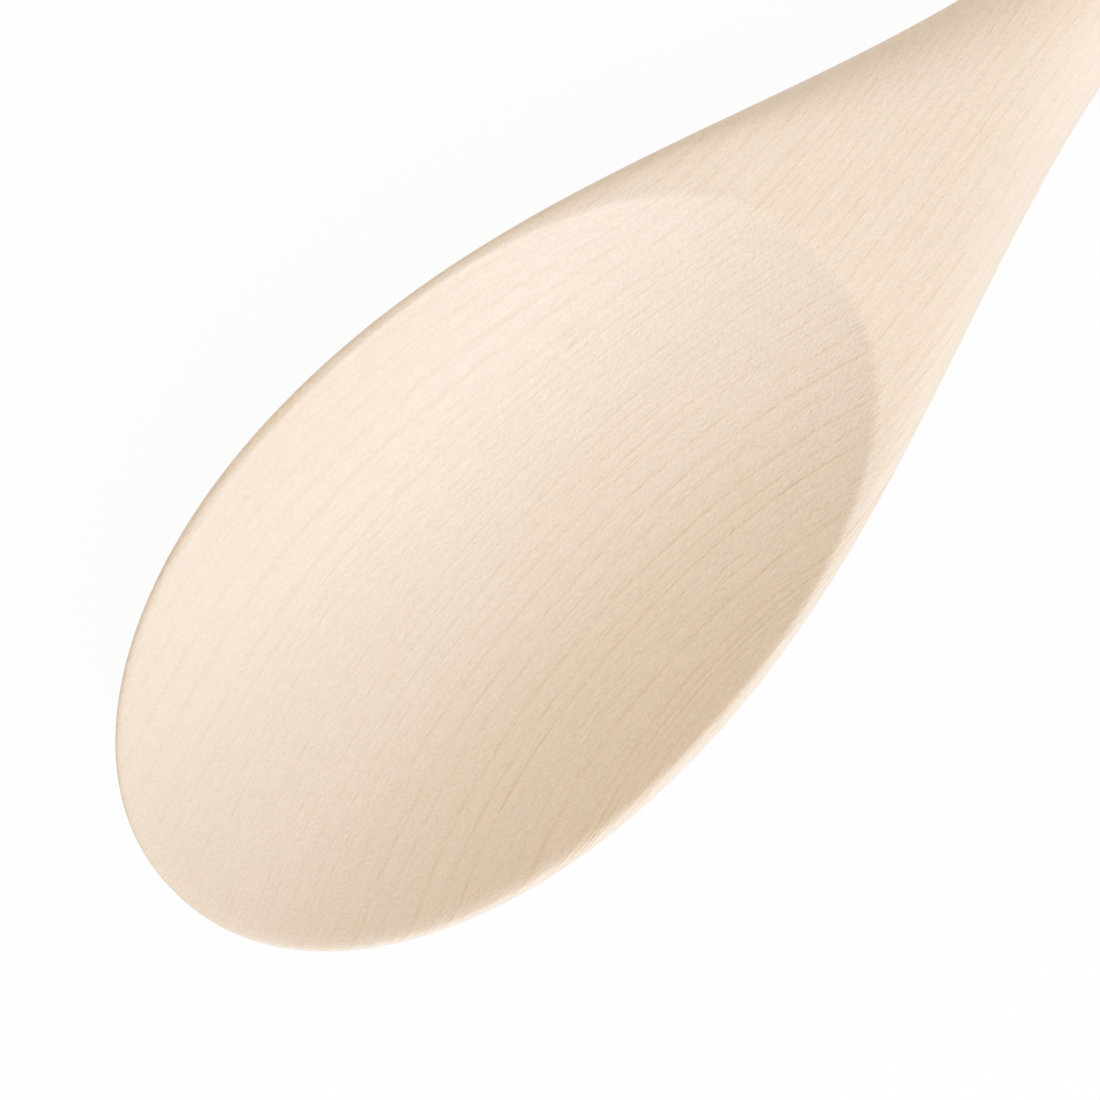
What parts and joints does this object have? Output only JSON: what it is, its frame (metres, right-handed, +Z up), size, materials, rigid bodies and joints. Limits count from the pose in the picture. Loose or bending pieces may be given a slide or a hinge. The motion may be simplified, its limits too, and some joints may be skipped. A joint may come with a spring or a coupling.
{
  "type": "wooden spoon",
  "caption": "Cooking spoon carved in one piece from pale wood: egg-shaped dished bowl, flat-topped neck easing into a round handle, for stirring and serving.",
  "frame": {"origin": "under the middle of the spoon's length, on the plane that it lies on", "axes": "+X along the spoon from the bowl to the end of the handle, +Y across the bowl, +Z up, out of the hollow"},
  "size_m": [0.3, 0.06, 0.0187],
  "materials": {
    "pale_wood": "fine-sanded, bare, matte"
  },
  "bodies": {
    "root": {"spoon": "pale_wood"}
  },
  "joints": []
}
